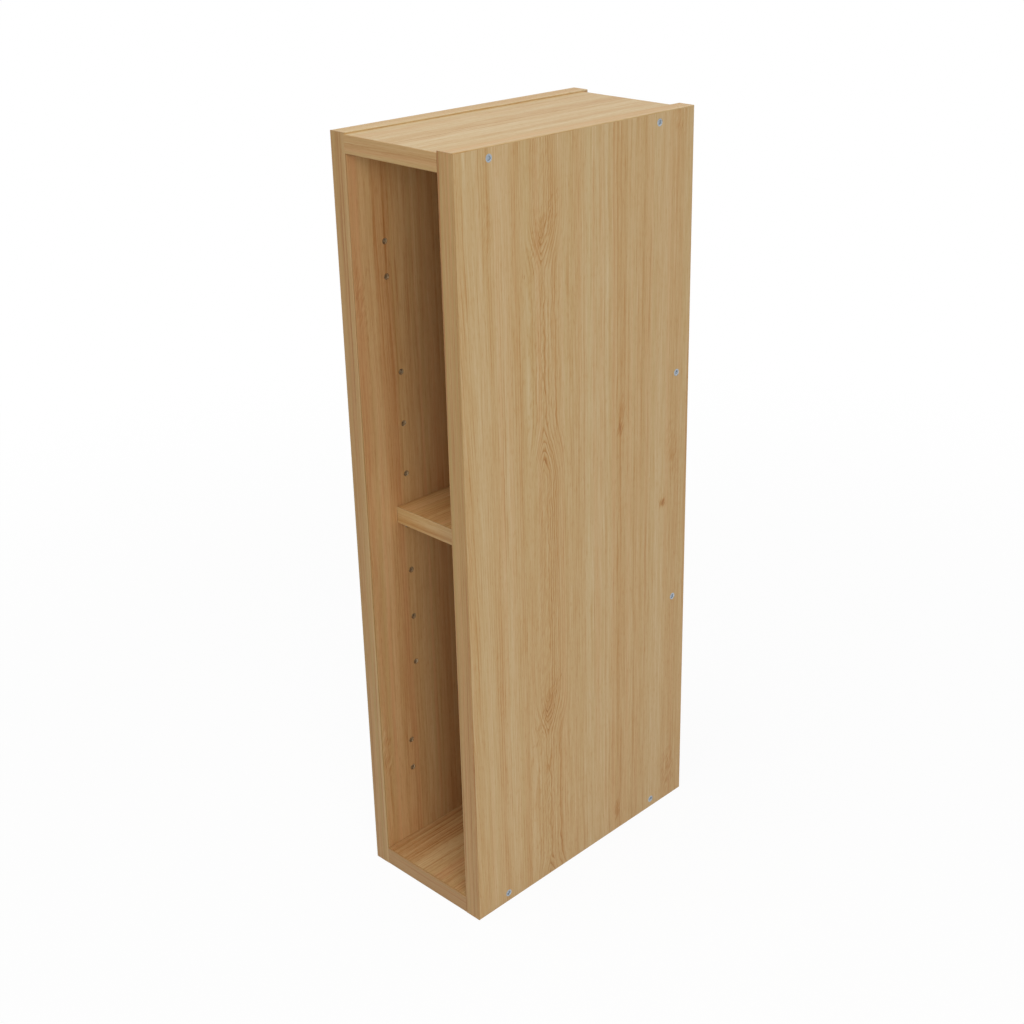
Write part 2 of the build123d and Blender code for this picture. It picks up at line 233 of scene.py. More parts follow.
# Figure of the printed oak. Grain is (across the grain, along it, which face), in metres.
# The rings arch over each other round the heart line and close in a flame.
def makeOakFigure():
    inputs = {"Grain": None, "Heart": 0.0, "Flame": 0.0, "Repeat": 0.462, "Ring Width": 0.0020}
    inputs |= {"Ring Growth": 0.070, "Wander": 0.005, "Drift": 0.0, "Depth": 0.012, "Banding": 1.2}
    group, entry = openGroup("oakFigure", inputs)
    look, noise, grain = oakShape, oakNoise, entry["Grain"]
    across, along, face = splitXYZ(grain)
    plain = across - entry["Heart"]
    offHeart = size(plain)
    # how far along its repeat the figure is: 0 at the flame
    turn = calc("FRACT", (along - entry["Flame"]) / entry["Repeat"])

    # the bands run nearly straight, and the lines far on one side drift inward going down
    wander = swing(grain, noise["drift"]) * entry["Wander"] * ease(offHeart, *look["wanderEdge"], 0.05, 1.0)
    straight = plain + wander + swing(grain, noise["ripple"], 2.0) * look["ripple"]
    below = larger(look["driftTop"] - along, 0.0)
    side = straight - below * entry["Drift"] * fall(plain, *look["driftEdge"])

    archTurn = calc("FRACT", turn - look["archLag"])
    arched = ease(archTurn, *look["archesOpen"]) - ease(archTurn, *look["archesShut"])
    nearHeart = fall(offHeart, 0.001, ease(plain, -0.004, 0.004, *look["heartWidths"]))
    depth = arched * entry["Depth"] * nearHeart
    islands = swing(grain, noise["islands"]) * look["islands"] * nearHeart
    # rings stand a little wider on one side of the heart than on the other
    lopsided = side * ease(side, -0.006, 0.006, *look["sides"])
    rounded = calc("SQRT", lopsided * lopsided + look["tipRound"])
    spread = larger(rounded + depth + islands, 0.0)

    # and closer near the heart: their spacing grows evenly with the distance
    flow = joinXYZ(straight, along, face)
    growth = entry["Ring Growth"]
    grown = calc("LOGARITHM", spread / growth + 1.0, math.e)
    uneven = swing(flow, noise["spacing"]) * ease(offHeart, 0.004, 0.030)
    phase = uneven * look["uneven"] + grown * (growth / entry["Ring Width"])
    within = calc("FRACT", phase)
    line = larger(calc("POWER", 1.0 - within, 3.0), ease(within, 0.86, 1.0))
    ringNumber = calc("MULTIPLY_ADD", face, 3.1, calc("FLOOR", phase))
    chance = result(group, "TexWhiteNoise", {"W": ringNumber}, "Value", noise_dimensions="1D")
    weakest, more = look["ringStrength"]
    strength = larger(chance * more + weakest, ease(spread, 0.012, 0.026, 0.85, 0.0))
    strength = strength * ease(spread, 0.0030, 0.0070, 0.4, 1.0)
    comeAndGo = ease(swing(flow, noise["comeAndGo"]), -0.35, 0.30, 0.2, 1.0)
    rings = line * strength * larger(comeAndGo, nearHeart * 1.1)
    streaks = swing(flow, noise["broad"]) * entry["Banding"] + swing(flow, noise["narrow"])

    # pores: hairlines that follow the rings, and shorter ones
    weave = joinXYZ(depth * calc("SIGN", side) + side, along, face)
    share = look["fibres"]
    fibres = swing(weave, noise["fine"]) * share["fine"] + swing(weave, noise["coarse"]) * share["coarse"]
    fibres = ease(swing(weave, noise["short"]), 0.05, 0.45) * share["short"] + fibres

    # the flame itself: a ragged dark patch that leans beside the heart line
    nearEnd = (calc("FRACT", turn + 0.5) - 0.5) * entry["Repeat"]
    leaning = nearEnd * look["flameLean"] + (plain - 0.001)
    reach = diagonal(nearEnd / look["flameLength"], leaning / look["flameWidth"])
    slanted = joinXYZ(along * look["tickLean"] + side, along, face)
    ragged = swing(slanted, noise["ragged"], 2.0)
    patch = fall(ragged * 3.0 + reach, 0.15, 0.95)
    # slanting ticks beside the heart, thickest in the core of the arches
    core = fall(size(side), 0.0005, 0.0040) * arched
    ticks = ragged * (core * 0.9 + fall(offHeart, 0.004, 0.020) * 0.6)
    outputs = {
        "Rings": rings * ease(streaks, -0.5, 0.6, 1.2, 0.55),  # they crowd into the darker streaks
        "Streaks": streaks,
        "Fibres": fibres + share["level"],
        "Flames": ticks + patch,
        "Blush": swing(flow, noise["blush"]),
        "Tint": swing(flow, noise["tint"]),
        "Ragged": ragged,
        "Side": straight,
    }
    return closeGroup(group, outputs)


# A knot or a streak at one place of a board, leaning a little, with ragged ends
def makeOakMark():
    inputs = {"Grain": None, "Ragged": 0.0, "Across": 0.0, "Along": 0.0}
    inputs |= {"Half Width": 0.003, "Half Length": 0.010, "Lean": 0.0}
    group, entry = openGroup("oakMark", inputs)
    across, along, _ = splitXYZ(entry["Grain"])
    along = along - entry["Along"]
    across = across - entry["Across"] - along * entry["Lean"]
    reach = diagonal(across / entry["Half Width"], along / entry["Half Length"])
    mark = fall(entry["Ragged"] * 0.8 + reach, 0.2, 1.0)
    return closeGroup(group, {"Mark": mark, "Ticks": entry["Ragged"] * fall(reach, 0.2, 1.3)})


chips = {
    "scale": 560.0,
    "wobbleScale": 260.0,
    "wobble": 0.0022,
    "gap": 0.06,
    "gapColour": linear(112, 84, 55),
    "dustColour": linear(168, 134, 94),
    "tones": {
        0.0: linear(160, 126, 87),
        0.3: linear(188, 156, 114),
        0.65: linear(207, 178, 136),
        1.0: linear(221, 196, 156),
    },
}


# Raw chipboard: pressed chips with dark gaps between them
def makeChipboard():
    look = chips
    group, entry = openGroup("chipboard", {"Vector": None})
    place = entry["Vector"]
    noise = {"Vector": place, "Scale": look["wobbleScale"], "Detail": 2.0}
    wobble = stretch(result(group, "TexNoise", noise, "Color"), (look["wobble"],) * 3)
    bent = result(group, "VectorMath", {0: place, 1: wobble}, operation="ADD")
    cells = {"Vector": bent, "Scale": look["scale"]}
    chip = result(group, "TexVoronoi", cells, "Color", feature="F1")
    gap = result(group, "TexVoronoi", cells, "Distance", feature="DISTANCE_TO_EDGE")
    shade = result(group, "SeparateColor", {"Color": chip}, "Red")
    crack = fall(gap, 0.0, look["gap"]) * ease(evenSwing(place, 300.0, 2.0), -0.2, 0.4)
    colour = blendColour(crack * 0.4, ramp(shade, look["tones"].items()), look["gapColour"])
    dust = ease(evenSwing(place, 1900.0, 2.0), -0.6, 0.6)
    colour = blendColour(dust * 0.25, colour, look["dustColour"])
    return closeGroup(group, {"Colour": colour, "Height": shade * 0.6 - crack})


oakFigure = makeOakFigure()
oakMark = makeOakMark()
chipboard = makeChipboard()
print("shader groups built")

# Colours of the printed oak, dark to pale
oakTones = {
    "knot": linear(151, 95, 34),
    "dark": linear(175, 126, 63),
    "middle": linear(190, 155, 102),
    "pale": linear(205, 182, 140),
    "blush": linear(204, 157, 109),
    "olive": linear(188, 162, 104),
}

# Painted shade colour: the boards round the inside get a redder copy of the print, standing in for the warm
# bounced light in the shaded interior
insideShadeTones = oakTones | {
    "knot": linear(150, 96, 42),
    "dark": linear(172, 126, 72),
    "pale": linear(207, 182, 131),
}

# The edging is a darker, yellower print
edgingTones = {
    "knot": linear(126, 74, 27),
    "dark": linear(145, 101, 52),
    "middle": linear(159, 123, 75),
    "pale": linear(171, 142, 99),
    "blush": linear(172, 127, 84),
    "olive": linear(152, 124, 72),
}

# How the figure makes the tone of the print: 0 is the knot colour, and 1 the pale one
toneShares = {"Rings": -0.46, "Fibres": 0.16, "Flames": -0.24}
streakShare = 0.13
middleTone = 0.66
toneStops = {"knot": 0.0, "dark": 0.3, "middle": 0.62, "pale": 1.0}
faceStep = 150.0  # sets the figures on the two faces of a board apart
# where the painted light along the grain starts
paintedLightFrom = 0.15


def startMaterial(name):
    material = bpy.data.materials.new(name)
    material.use_nodes = True
    tree = material.node_tree
    return material, tree, result(tree, "TexCoord", {}, "Object")


def paint(tree, colour, rough, normal):
    surface = tree.nodes["Principled BSDF"].inputs
    feed(surface["Base Color"], colour)
    feed(surface["Roughness"], rough)
    feed(surface["Normal"], normal)
    return surface


def thickness(parts, look):
    return parts[({"X", "Y", "Z"} - {look["across"], look["along"]}).pop()]


# Lays the print on a board. Look says which way the grain runs and where its figure is.
def layOak(tree, place, look, tones):
    tint = look.get("tint", (1.0, 1.0, 1.0))
    tones = {name: (*(part * share for part, share in zip(tone, tint)), 1.0) for name, tone in tones.items()}
    parts = dict(zip("XYZ", splitXYZ(place)))
    along = parts[look["along"]]
    face = calc("MULTIPLY_ADD", thickness(parts, look), faceStep, look["seed"])
    grain = joinXYZ(parts[look["across"]] * look.get("fineness", 1.0), along, face)
    keys = ("heart", "flame", "wander", "drift", "banding")
    places = {key.title(): look[key] for key in keys if key in look}
    figure = useGroup(tree, oakFigure, {"Grain": grain, **places})
    contrast = look.get("contrast", 1.0)
    tone = figure["Streaks"] * (streakShare * contrast * look.get("streaks", 1.0)) + middleTone
    for part, share in toneShares.items():
        tone = figure[part] * (share * contrast) + tone
    if "paintedLightAlong" in look:
        # painted light: the print turns paler along the grain, which on the right side runs upward, for the
        # light that grows towards the top
        tone = (along - paintedLightFrom) * look["paintedLightAlong"] + tone
    for offHeart, halfWidth, strength in look.get("bands", []):
        # a broad paler or darker band that follows the grain at a distance from the heart
        offset = (figure["Side"] - offHeart) / halfWidth
        tone = calc("EXPONENT", offset * offset * -1.0) * strength + tone
    for markPlace, halfSizes, lean, dark, ticks in look.get("marks", []):
        inputs = {"Grain": grain, "Ragged": figure["Ragged"], "Lean": lean}
        inputs |= dict(zip(("Across", "Along", "Half Width", "Half Length"), markPlace + halfSizes))
        spot = useGroup(tree, oakMark, inputs)
        tone = spot["Ticks"] * ticks + (spot["Mark"] * -dark + tone)
    colour = ramp(tone, [(stop, tones[name]) for name, stop in toneStops.items()])
    blush = ease(figure["Blush"], -0.1, 0.6, 0.0, look.get("blush", 0.28))
    colour = blendColour(blush, colour, tones["blush"])
    # narrow stripes that lean to red or to olive
    for lean, toneName in ((1.0, "blush"), (-1.0, "olive")):
        stripe = ease(figure["Tint"], 0.02 * lean, 0.55 * lean, 0.0, look.get("hue", 0.4))
        colour = blendColour(stripe, colour, tones[toneName])
    return colour, figure["Rings"] * -0.5 + figure["Fibres"], figure["Fibres"]


# Drilled holes on the inner faces; rim, its strength and its colour set the ring of painted shade round each
# hole
drilling = dict(
    rows=(-0.101, 0.091), firstHole=0.212, spacing=0.050, lastStep=6.0,
    hingeRow=-0.112, hingeMiddle=0.3655, hingeOff=0.254, hingePair=0.016,
    rim=(0.0026, 0.0031), rimShadeStrength=0.85, rimShadeColour=linear(92, 68, 48),
)
midSide = 0.066  # halfway through the thickness of a side
skin = 0.00004  # depth of the print on a face


def fromHoles(across, up):
    # distance on the inner faces from the centre of the nearest drilled hole
    look = drilling
    toRow = calc("MINIMUM", *(size(across - row) for row in look["rows"]))
    steps = (up - look["firstHole"]) / look["spacing"]
    step = calc("MINIMUM", larger(calc("ROUND", steps), 0.0), look["lastStep"])
    pair = size(size(up - look["hingeMiddle"]) - look["hingeOff"]) - look["hingePair"]
    toPin = diagonal(toRow, (steps - step) * look["spacing"])
    return calc("MINIMUM", toPin, diagonal(across - look["hingeRow"], pair))


def makeBoardMaterial(name, look):
    material, tree, place = startMaterial(name)
    colour, height, fibres = layOak(tree, place, look, look.get("tones", oakTones))
    parts = dict(zip("XYZ", splitXYZ(place)))
    if "outerTint" in look:
        # the outer face takes back the board's redder tint, so the painted shade colour stays on the inner
        # face
        outer = calc("GREATER_THAN", size(parts["X"]), midSide)
        colour = blendColour(outer, colour, (*look["outerTint"], 1.0), "MULTIPLY")
    if look.get("drilled"):
        # painted shade: the print is darkened in a ring round each drilled hole, standing in for the shade at
        # the hole's rim
        rim = fall(fromHoles(parts["Y"], parts["Z"]), *drilling["rim"])
        rim = rim * calc("LESS_THAN", size(parts["X"]), midSide) * drilling["rimShadeStrength"]
        colour = blendColour(rim, colour, drilling["rimShadeColour"])
    # the print is only on the two faces, and chipboard shows on the cut edges and in the holes
    low, high = look["faces"]
    through = thickness(parts, look)
    printed = larger(calc("LESS_THAN", through, low + skin), calc("GREATER_THAN", through, high - skin))
    core = useGroup(tree, chipboard, {"Vector": place})
    rough = (1.0 - printed) * 0.4 + (fibres * -0.03 + 0.46)
    reliefs = {0: printed, 4: relief(core["Height"], 0.9, 0.0008), 5: relief(height, 0.12, 0.0002)}
    normal = result(tree, "Mix", reliefs, 1, data_type="VECTOR")
    paint(tree, blendColour(printed, core["Colour"], colour), rough, normal)
    return material


def makeEdgingMaterial(name, look, tones):
    material, tree, place = startMaterial(name)
    colour, height, fibres = layOak(tree, place, look, tones)
    paint(tree, colour, fibres * -0.03 + 0.5, relief(height, 0.12, 0.0002))
    return material


def dress(name, material):
    for slot in nodes[name].material_slots:
        slot.material = material


# (across, along), (half width, half length), lean, how dark, strength of the ticks
rightMarks = [
    ((0.052, 0.462), (0.0055, 0.026), 0.06, 0.18, 0.1),
    ((0.050, 0.448), (0.0060, 0.010), -0.1, 0.18, 0.1),
    ((0.114, 0.351), (0.0045, 0.0060), 0.0, 0.5, 0.1),
    ((0.114, 0.351), (0.0080, 0.0110), 0.0, 0.14, 0.1),
    ((0.048, 0.022), (0.0060, 0.016), 0.08, 0.28, 0.1),
    ((0.129, 0.400), (0.012, 0.045), -0.2, 0.07, 0.22),
    ((0.129, 0.036), (0.012, 0.034), 0.0, 0.12, 0.36),
    ((0.130, 0.725), (0.012, 0.022), 0.0, 0.06, 0.3),
    ((-0.113, 0.226), (0.007, 0.034), -0.10, 0.05, 0.20),
    ((-0.113, 0.668), (0.007, 0.034), -0.10, 0.05, 0.20),
]
leftMarks = [((-0.144, along), (0.009, 0.034), -0.1, 0.06, 0.60) for along in (0.590, 0.128)]

# (distance from the heart line, half width, how much paler or darker)
rightBands = [
    (-0.098, 0.003, -0.05), (-0.092, 0.004, -0.05), (-0.076, 0.009, 0.045), (-0.059, 0.004, -0.05),
    (-0.046, 0.007, 0.10), (-0.028, 0.005, -0.08), (-0.002, 0.004, -0.06), (0.016, 0.006, -0.04),
    (0.036, 0.008, -0.04), (0.061, 0.009, 0.12), (0.082, 0.007, 0.10), (0.103, 0.006, -0.10),
    (0.131, 0.009, -0.07), (0.157, 0.011, 0.08), (0.169, 0.003, 0.04), (0.183, 0.012, -0.09),
]
leftBands = [
    (-0.206, 0.007, -0.10), (-0.190, 0.005, 0.16), (-0.173, 0.007, -0.07), (-0.140, 0.006, 0.07),
    (-0.124, 0.006, -0.11),
]
topBands = [
    (-0.146, 0.004, 0.04), (-0.135, 0.006, -0.08), (-0.118, 0.007, 0.10), (-0.102, 0.007, -0.18),
    (-0.077, 0.006, 0.12), (-0.061, 0.004, -0.08), (-0.051, 0.004, 0.08), (-0.041, 0.004, -0.08),
]

boards = {
    # painted light: the right side is made paler going up the board
    "right_side_board": dict(
        across="Y", along="Z", faces=(0.057, 0.075), heart=-0.052, flame=0.193, seed=0.0,
        marks=rightMarks, bands=rightBands, streaks=0.5, banding=0.5, drift=0.035, wander=0.002,
        contrast=1.0, blush=0.12, hue=0.2, paintedLightAlong=0.11, drilled=True,
    ),
    # painted shade colour: the left side's tint reddens it, for the warm bounced light on its inner face
    "left_side_board": dict(
        across="Y", along="Z", faces=(-0.075, -0.057), heart=0.062, flame=0.09, seed=21.0,
        bands=leftBands, marks=leftMarks, streaks=1.5, wander=0.003, contrast=1.1, blush=0.36, hue=0.42,
        tones=insideShadeTones, tint=(1.045, 0.965, 0.99), outerTint=(0.957, 1.045, 1.02), drilled=True,
    ),
    # painted sheen: the top board's tint lifts green and blue, standing in for the white reflection on its
    # upward face
    "top_board": dict(
        across="X", along="Y", faces=(0.7175, 0.7335), heart=0.094, flame=-0.3, seed=5.0,
        bands=topBands, streaks=0.7, wander=0.002, contrast=1.25, blush=0.15, hue=0.2, tint=(1.0, 1.05, 1.07),
    ),
    # painted shade colour: the bottom board's tint darkens and reddens it, for the dim light inside
    "bottom_board": dict(
        across="X", along="Y", faces=(0.0, 0.018), heart=0.08, flame=0.2, seed=12.0,
        banding=2.2, contrast=1.6, tones=insideShadeTones, tint=(0.93, 0.88, 0.92),
    ),
    # painted shade colour: the shelf's tint reddens it, for the warm light inside
    "shelf": dict(
        across="X", along="Y", faces=(0.3665, 0.3825), heart=-0.07, flame=0.2, seed=31.0,
        streaks=1.4, contrast=1.4, hue=0.6, tones=insideShadeTones, tint=(1.055, 0.94, 0.88),
    ),
    "back_board": dict(
        across="X", along="Z", faces=(0.124, 0.140), heart=0.02, flame=0.3, seed=44.0, blush=0.15, hue=0.2,
    ),
}
for name, look in boards.items():
    dress(name, makeBoardMaterial("oak_" + name, look))

shelfHeart = 0.5
shelfStripes = [
    (0.3675 - shelfHeart, 0.0012, 0.15), (0.3702 - shelfHeart, 0.0013, -0.24),
    (0.3785 - shelfHeart, 0.0030, 0.14), (0.3827 - shelfHeart, 0.0006, 0.35),
]
leftFrontHeart = 0.20
endHeart = 0.40
turnedCorner = -0.114  # across, where the left edging turns its corner; the pale band there is a painted highlight

# The tints of the edgings are painted light: each edging is made lighter or darker as the light falls on it,
# the top and shelf edgings paler and the bottom edging darker, for light that falls off downward
edgings = {
    "right_side_front_edging": dict(
        across="X", along="Z", heart=0.30, flame=0.2, seed=7.3, fineness=2.0,
        contrast=1.3, hue=0.7, blush=0.1, tint=(1.06, 1.07, 1.0),
    ),
    "left_side_front_edging": dict(
        across="X", along="Z", heart=leftFrontHeart, flame=0.5, seed=9.1, fineness=2.0,
        contrast=1.3, hue=0.7, blush=0.1, tint=(1.0, 0.985, 0.89),
        # a painted highlight where the edging turns its corner
        bands=[(turnedCorner - leftFrontHeart, 0.007, 0.30)],
    ),
    "top_front_edging": dict(
        across="Z", along="X", heart=1.4, flame=0.2, seed=19.4, fineness=1.6, banding=0.4,
        hue=0.4, blush=0.05, tint=(1.165, 1.235, 1.30),
    ),
    "bottom_front_edging": dict(
        across="Z", along="X", heart=-0.1, flame=0.2, seed=23.8, fineness=1.6,
        hue=0.6, blush=0.1, tint=(0.91, 0.85, 0.72),
    ),
    "shelf_front_edging": dict(
        across="Z", along="X", heart=shelfHeart, flame=0.2, seed=27.1, bands=shelfStripes,
        contrast=1.2, hue=0.5, blush=0.1, tint=(1.17, 1.16, 1.12),
    ),
}
for name, look in edgings.items():
    dress(name, makeEdgingMaterial("edging_" + name, look, edgingTones))

endSeeds = {"right_side_top": 2.2, "left_side_top": 13.7, "right_side_bottom": 15.2, "left_side_bottom": 17.9}
for end, seed in endSeeds.items():
    look = dict(across="X", along="Y", heart=endHeart, flame=0.2, seed=seed, fineness=2.0)
    if end == "left_side_top":
        # a painted highlight where the edging turns its corner
        look["bands"] = [(turnedCorner - endHeart, 0.004, 0.35)]
    dress(end + "_edging", makeEdgingMaterial(f"edging_{end}_edging", look, oakTones))
print("boards and edging dressed")


def makeMetal(name, colour, rough, metallic=1.0):
    material, tree, place = startMaterial(name)
    fineCloud = evenSwing(place, 900.0, 2.0)
    darker = (*(part * 0.72 for part in colour[:3]), 1.0)
    colour = blendColour(ease(evenSwing(place, 180.0, 3.0), -0.5, 0.6), darker, colour)
    surface = paint(tree, colour, fineCloud * 0.05 + rough, relief(fineCloud, 0.15, 0.0001))
    surface["Metallic"].default_value = metallic
    return material


def makePlastic(name, dull, bright):
    material, tree, place = startMaterial(name)
    grainy = evenSwing(place, 2600.0, 1.0)
    colour = blendColour(ease(evenSwing(place, 60.0, 2.0), -0.6, 0.6), dull, bright)
    paint(tree, colour, grainy * 0.04 + 0.42, relief(grainy, 0.1, 0.00008))
    return material


def makeBeech(name, pale, dark):
    material, tree, place = startMaterial(name)
    fleck = swing(place, (90.0, 1400.0, 1400.0), 2.0)
    paint(tree, blendColour(ease(fleck, -0.3, 0.7), pale, dark), 0.6, relief(fleck, 0.2, 0.0002))
    return material


finishes = {
    "zinc_screws": makeMetal("zinc_screws", linear(184, 193, 201), 0.45, metallic=0.7),
    "zinc_sheet": makeMetal("zinc_sheet", linear(196, 202, 208), 0.3),
    "nickel_steel": makeMetal("nickel_steel", linear(206, 202, 194), 0.24),
    "white_plastic": makePlastic("white_plastic", linear(222, 222, 217), linear(230, 230, 226)),
    "beech": makeBeech("beech", linear(206, 170, 130), linear(176, 132, 92)),
}
print("finishes of the fittings made")

# Meshes of the fittings. A shape collects points and faces, and becomes one piece.
sideSign = {"left": -1.0, "right": 1.0}
halfInside = 0.057
halfOutside = 0.075
hair = 0.0001  # the step in which the fine edges of turned parts are given
sharpAngle = math.radians(32.0)


def addLoft(shape, rings, place):
    # joins rings of points into a skin; a ring of one point closes an end
    starts = []
    for ring in rings:
        starts.append(len(shape["points"]))
        shape["points"] += [place @ Vector(point) for point in ring]
    count = max(len(ring) for ring in rings)
    for index in range(len(rings) - 1):
        low, high = starts[index], starts[index + 1]
        for step in range(count):
            after = (step + 1) % count
            if len(rings[index]) == 1:
                shape["faces"].append((low, high + after, high + step))
            elif len(rings[index + 1]) == 1:
                shape["faces"].append((low + step, low + after, high))
            else:
                shape["faces"].append((low + step, low + after, high + after, high + step))


def newShape():
    return {"points": [], "faces": []}


def makeLoft(rings, place):
    shape = newShape()
    addLoft(shape, rings, place)
    return shape


def ringAt(radius, height, count):
    # radius is a number, or a function of the angle
    points = []
    for step in range(count):
        angle = math.tau * step / count
        reach = radius(angle) if callable(radius) else radius
        points.append((reach * math.cos(angle), reach * math.sin(angle), height))
    return points


def turned(count, *profile):
    # rings for (radius, height) pairs; a radius of 0 closes an end
    return [ringAt(radius, height, count) if radius else [(0.0, 0.0, height)] for radius, height in profile]


def hexagonal(radius):
    def reach(angle):
        return radius * math.cos(math.pi / 6) / math.cos(angle % (math.pi / 3) - math.pi / 6)

    return reach


def crossed(length, halfWidth):
    def arm(angle):
        along, aside = abs(math.cos(angle)), abs(math.sin(angle))
        return min(length / max(along, 1e-6), halfWidth / max(aside, 1e-6))

    def reach(angle):
        return max(arm(angle), arm(angle + math.pi / 2))

    return reach


def threadRings(start, end, root, crest, pitch, count, stepsPerTurn=10):
    # a helical thread that fades in at its start and out at its end
    rings = []
    steps = round((end - start) / pitch * stepsPerTurn)
    for step in range(steps + 1):
        depth = start + (end - start) * step / steps
        fade = min(1.0, (depth - start) / pitch, (end - depth) / pitch / 1.5)
        ring = []
        for turnStep in range(count):
            angle = math.tau * turnStep / count
            phase = (depth / pitch - turnStep / count) % 1.0
            ridge = max(0.0, 1.0 - abs(phase - 0.5) / 0.32)
            radius = root + (crest - root) * ridge * max(fade, 0.0)
            ring.append((radius * math.cos(angle), radius * math.sin(angle), -depth))
        rings.append(ring)
    return rings


def offsetLoop(loop, distance):
    # moves a closed outline towards its left by a distance
    moved = []
    for index, point in enumerate(loop):
        here = Vector(point)
        first = (here - Vector(loop[index - 1])).normalized()
        second = (Vector(loop[(index + 1) % len(loop)]) - here).normalized()
        firstLeft = Vector((-first.y, first.x))
        secondLeft = Vector((-second.y, second.x))
        shift = (firstLeft + secondLeft) / (1.0 + firstLeft.dot(secondLeft))
        moved.append(tuple(here + shift * distance))
    return moved


def roundedLoop(corners, steps=6):
    # corners are (x, y, radius) going left round the outline
    loop = []
    for index, (x, y, radius) in enumerate(corners):
        here = Vector((x, y))
        if radius == 0.0:
            loop.append((x, y))
            continue
        before = Vector(corners[index - 1][:2]) - here
        after = Vector(corners[(index + 1) % len(corners)][:2]) - here
        before.normalize()
        after.normalize()
        half = before.angle(after) / 2
        centre = here + (before + after).normalized() * (radius / math.sin(half))
        start = here + before * (radius / math.tan(half)) - centre
        end = here + after * (radius / math.tan(half)) - centre
        sweep = start.angle_signed(end)
        for step in range(steps + 1):
            spoke = Matrix.Rotation(-sweep * step / steps, 2) @ start
            loop.append(tuple(centre + spoke))
    return loop


def mirroredLoop(low, high, corners):
    # corners are (x, distance in from the low and the high edge, radius)
    lower = [(x, low + inset, radius) for x, inset, radius in corners]
    upper = [(x, high - inset, radius) for x, inset, radius in reversed(corners)]
    return roundedLoop(lower + upper)


def boxLoop(left, right, low, high, radius):
    return mirroredLoop(low, high, [(left, 0.0, radius), (right, 0.0, radius)])


def holeLoop(x, y, radius, count=40):
    turns = [math.tau * step / count for step in range(count, 0, -1)]
    return [(x + radius * math.cos(turn), y + radius * math.sin(turn)) for turn in turns]


def makePlate(loops, low, high, bevel, place):
    # a flat piece with rounded edges: the first loop is its outline, and the others are holes in it
    shape = newShape()
    quarter = [math.pi / 2 * step / 3 for step in range(4)]
    rim = [(bevel * (1 - math.cos(turn)), bevel * (1 - math.sin(turn))) for turn in quarter]
    levels = [(low + rise, inset) for rise, inset in rim]
    levels += [(high - rise, inset) for rise, inset in reversed(rim)]
    for loop in loops:
        rings = [[(x, y, level) for x, y in offsetLoop(loop, inset)] for level, inset in levels]
        addLoft(shape, rings, place)
    inner = [offsetLoop(loop, bevel) for loop in loops]
    flat = [[Vector((x, y, 0.0)) for x, y in loop] for loop in inner]
    triangles = tessellate_polygon(flat)
    for level in (low, high):
        start = len(shape["points"])
        shape["points"] += [place @ Vector((x, y, level)) for loop in inner for x, y in loop]
        for triangle in triangles:
            shape["faces"].append(tuple(start + corner for corner in triangle))
    return shape


def makeRod(radius, start, end, bevel, place):
    profile = [(0.0, start), (radius - bevel, start), (radius, start + bevel)]
    profile += [(radius, end - bevel), (radius - bevel, end), (0.0, end)]
    return makeLoft(turned(40, *profile), place)


def keepHardEdges(mesh):
    mesh.shade_smooth()
    mesh.set_sharp_from_angle(angle=sharpAngle)


def toObject(name, shape):
    mesh = bpy.data.meshes.new(name)
    mesh.from_pydata(shape["points"], [], shape["faces"])
    # welds the seams of the shape and turns its faces outward
    work = bmesh.new()
    work.from_mesh(mesh)
    bmesh.ops.remove_doubles(work, verts=work.verts, dist=1e-6)
    bmesh.ops.recalc_face_normals(work, faces=work.faces)
    work.to_mesh(mesh)
    work.free()
    keepHardEdges(mesh)
    piece = bpy.data.objects.new(name, mesh)
    bpy.context.scene.collection.objects.link(piece)
    return piece


def combine(piece, operation, shapes):
    # adds to a piece, or cuts from it, each of the shapes
    for shape in shapes:
        tool = toObject(piece.name + "Tool", shape)
        step = piece.modifiers.new("step", "BOOLEAN")
        step.solver = "MANIFOLD"
        step.operation = operation
        step.object = tool
        bpy.context.view_layer.update()
        evaluated = piece.evaluated_get(bpy.context.evaluated_depsgraph_get())
        mesh = bpy.data.meshes.new_from_object(evaluated)
        piece.modifiers.clear()
        piece.data = mesh
        bpy.data.objects.remove(tool)
    keepHardEdges(piece.data)


def settle(piece, body, slotName, *nodeNames):
    piece.data.materials.clear()
    piece.data.materials.append(finishes[slotName])
    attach(piece, body)
    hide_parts(*nodeNames)


def facing(x, y, z, direction):
    # local Z points along X in the direction given, local X along Y
    side = math.copysign(1.0, direction)
    return Matrix(((0, 0, side, x), (1, 0, 0, y), (0, side, 0, z), (0, 0, 0, 1)))


def forward(side, y, z):
    # local Z points out of the open front, in the middle of a hanger
    x = sideSign[side] * (halfInside - hanger["middle"])
    return Matrix(((1, 0, 0, x), (0, 0, -1, y), (0, 1, 0, z), (0, 0, 0, 1)))


def fromInside(side):
    # local X is Y, local Y is Z, and local Z is the distance from the inner face of a side
    sign = sideSign[side]
    return Matrix(((0, 0, -sign, sign * halfInside), (1, 0, 0, 0), (0, 1, 0, 0), (0, 0, 0, 1)))


def upright(side):
    # local X is Y, local Y is the distance from the inner face of a side, and local Z is Z
    sign = sideSign[side]
    return Matrix(((0, -sign, 0, sign * halfInside), (1, 0, 0, 0), (0, 0, 1, 0), (0, 0, 0, 1)))


# One-piece connector screws: countersunk head with a hexagon socket, coarse thread
connectorScrew = dict(
    headRadius=0.0036, socketRadius=0.0023, socketDepth=0.0014, shankRadius=0.00235, count=24,
    threadRoot=0.0019, threadCrest=0.0025, threadStart=0.0205, pitch=0.0025, length=0.050, tip=0.004,
    sink=0.0001, cornerY=(-0.110, 0.102), cornerZ=(0.009, 0.7255), backY=0.132, backZ=(0.240, 0.482),
)


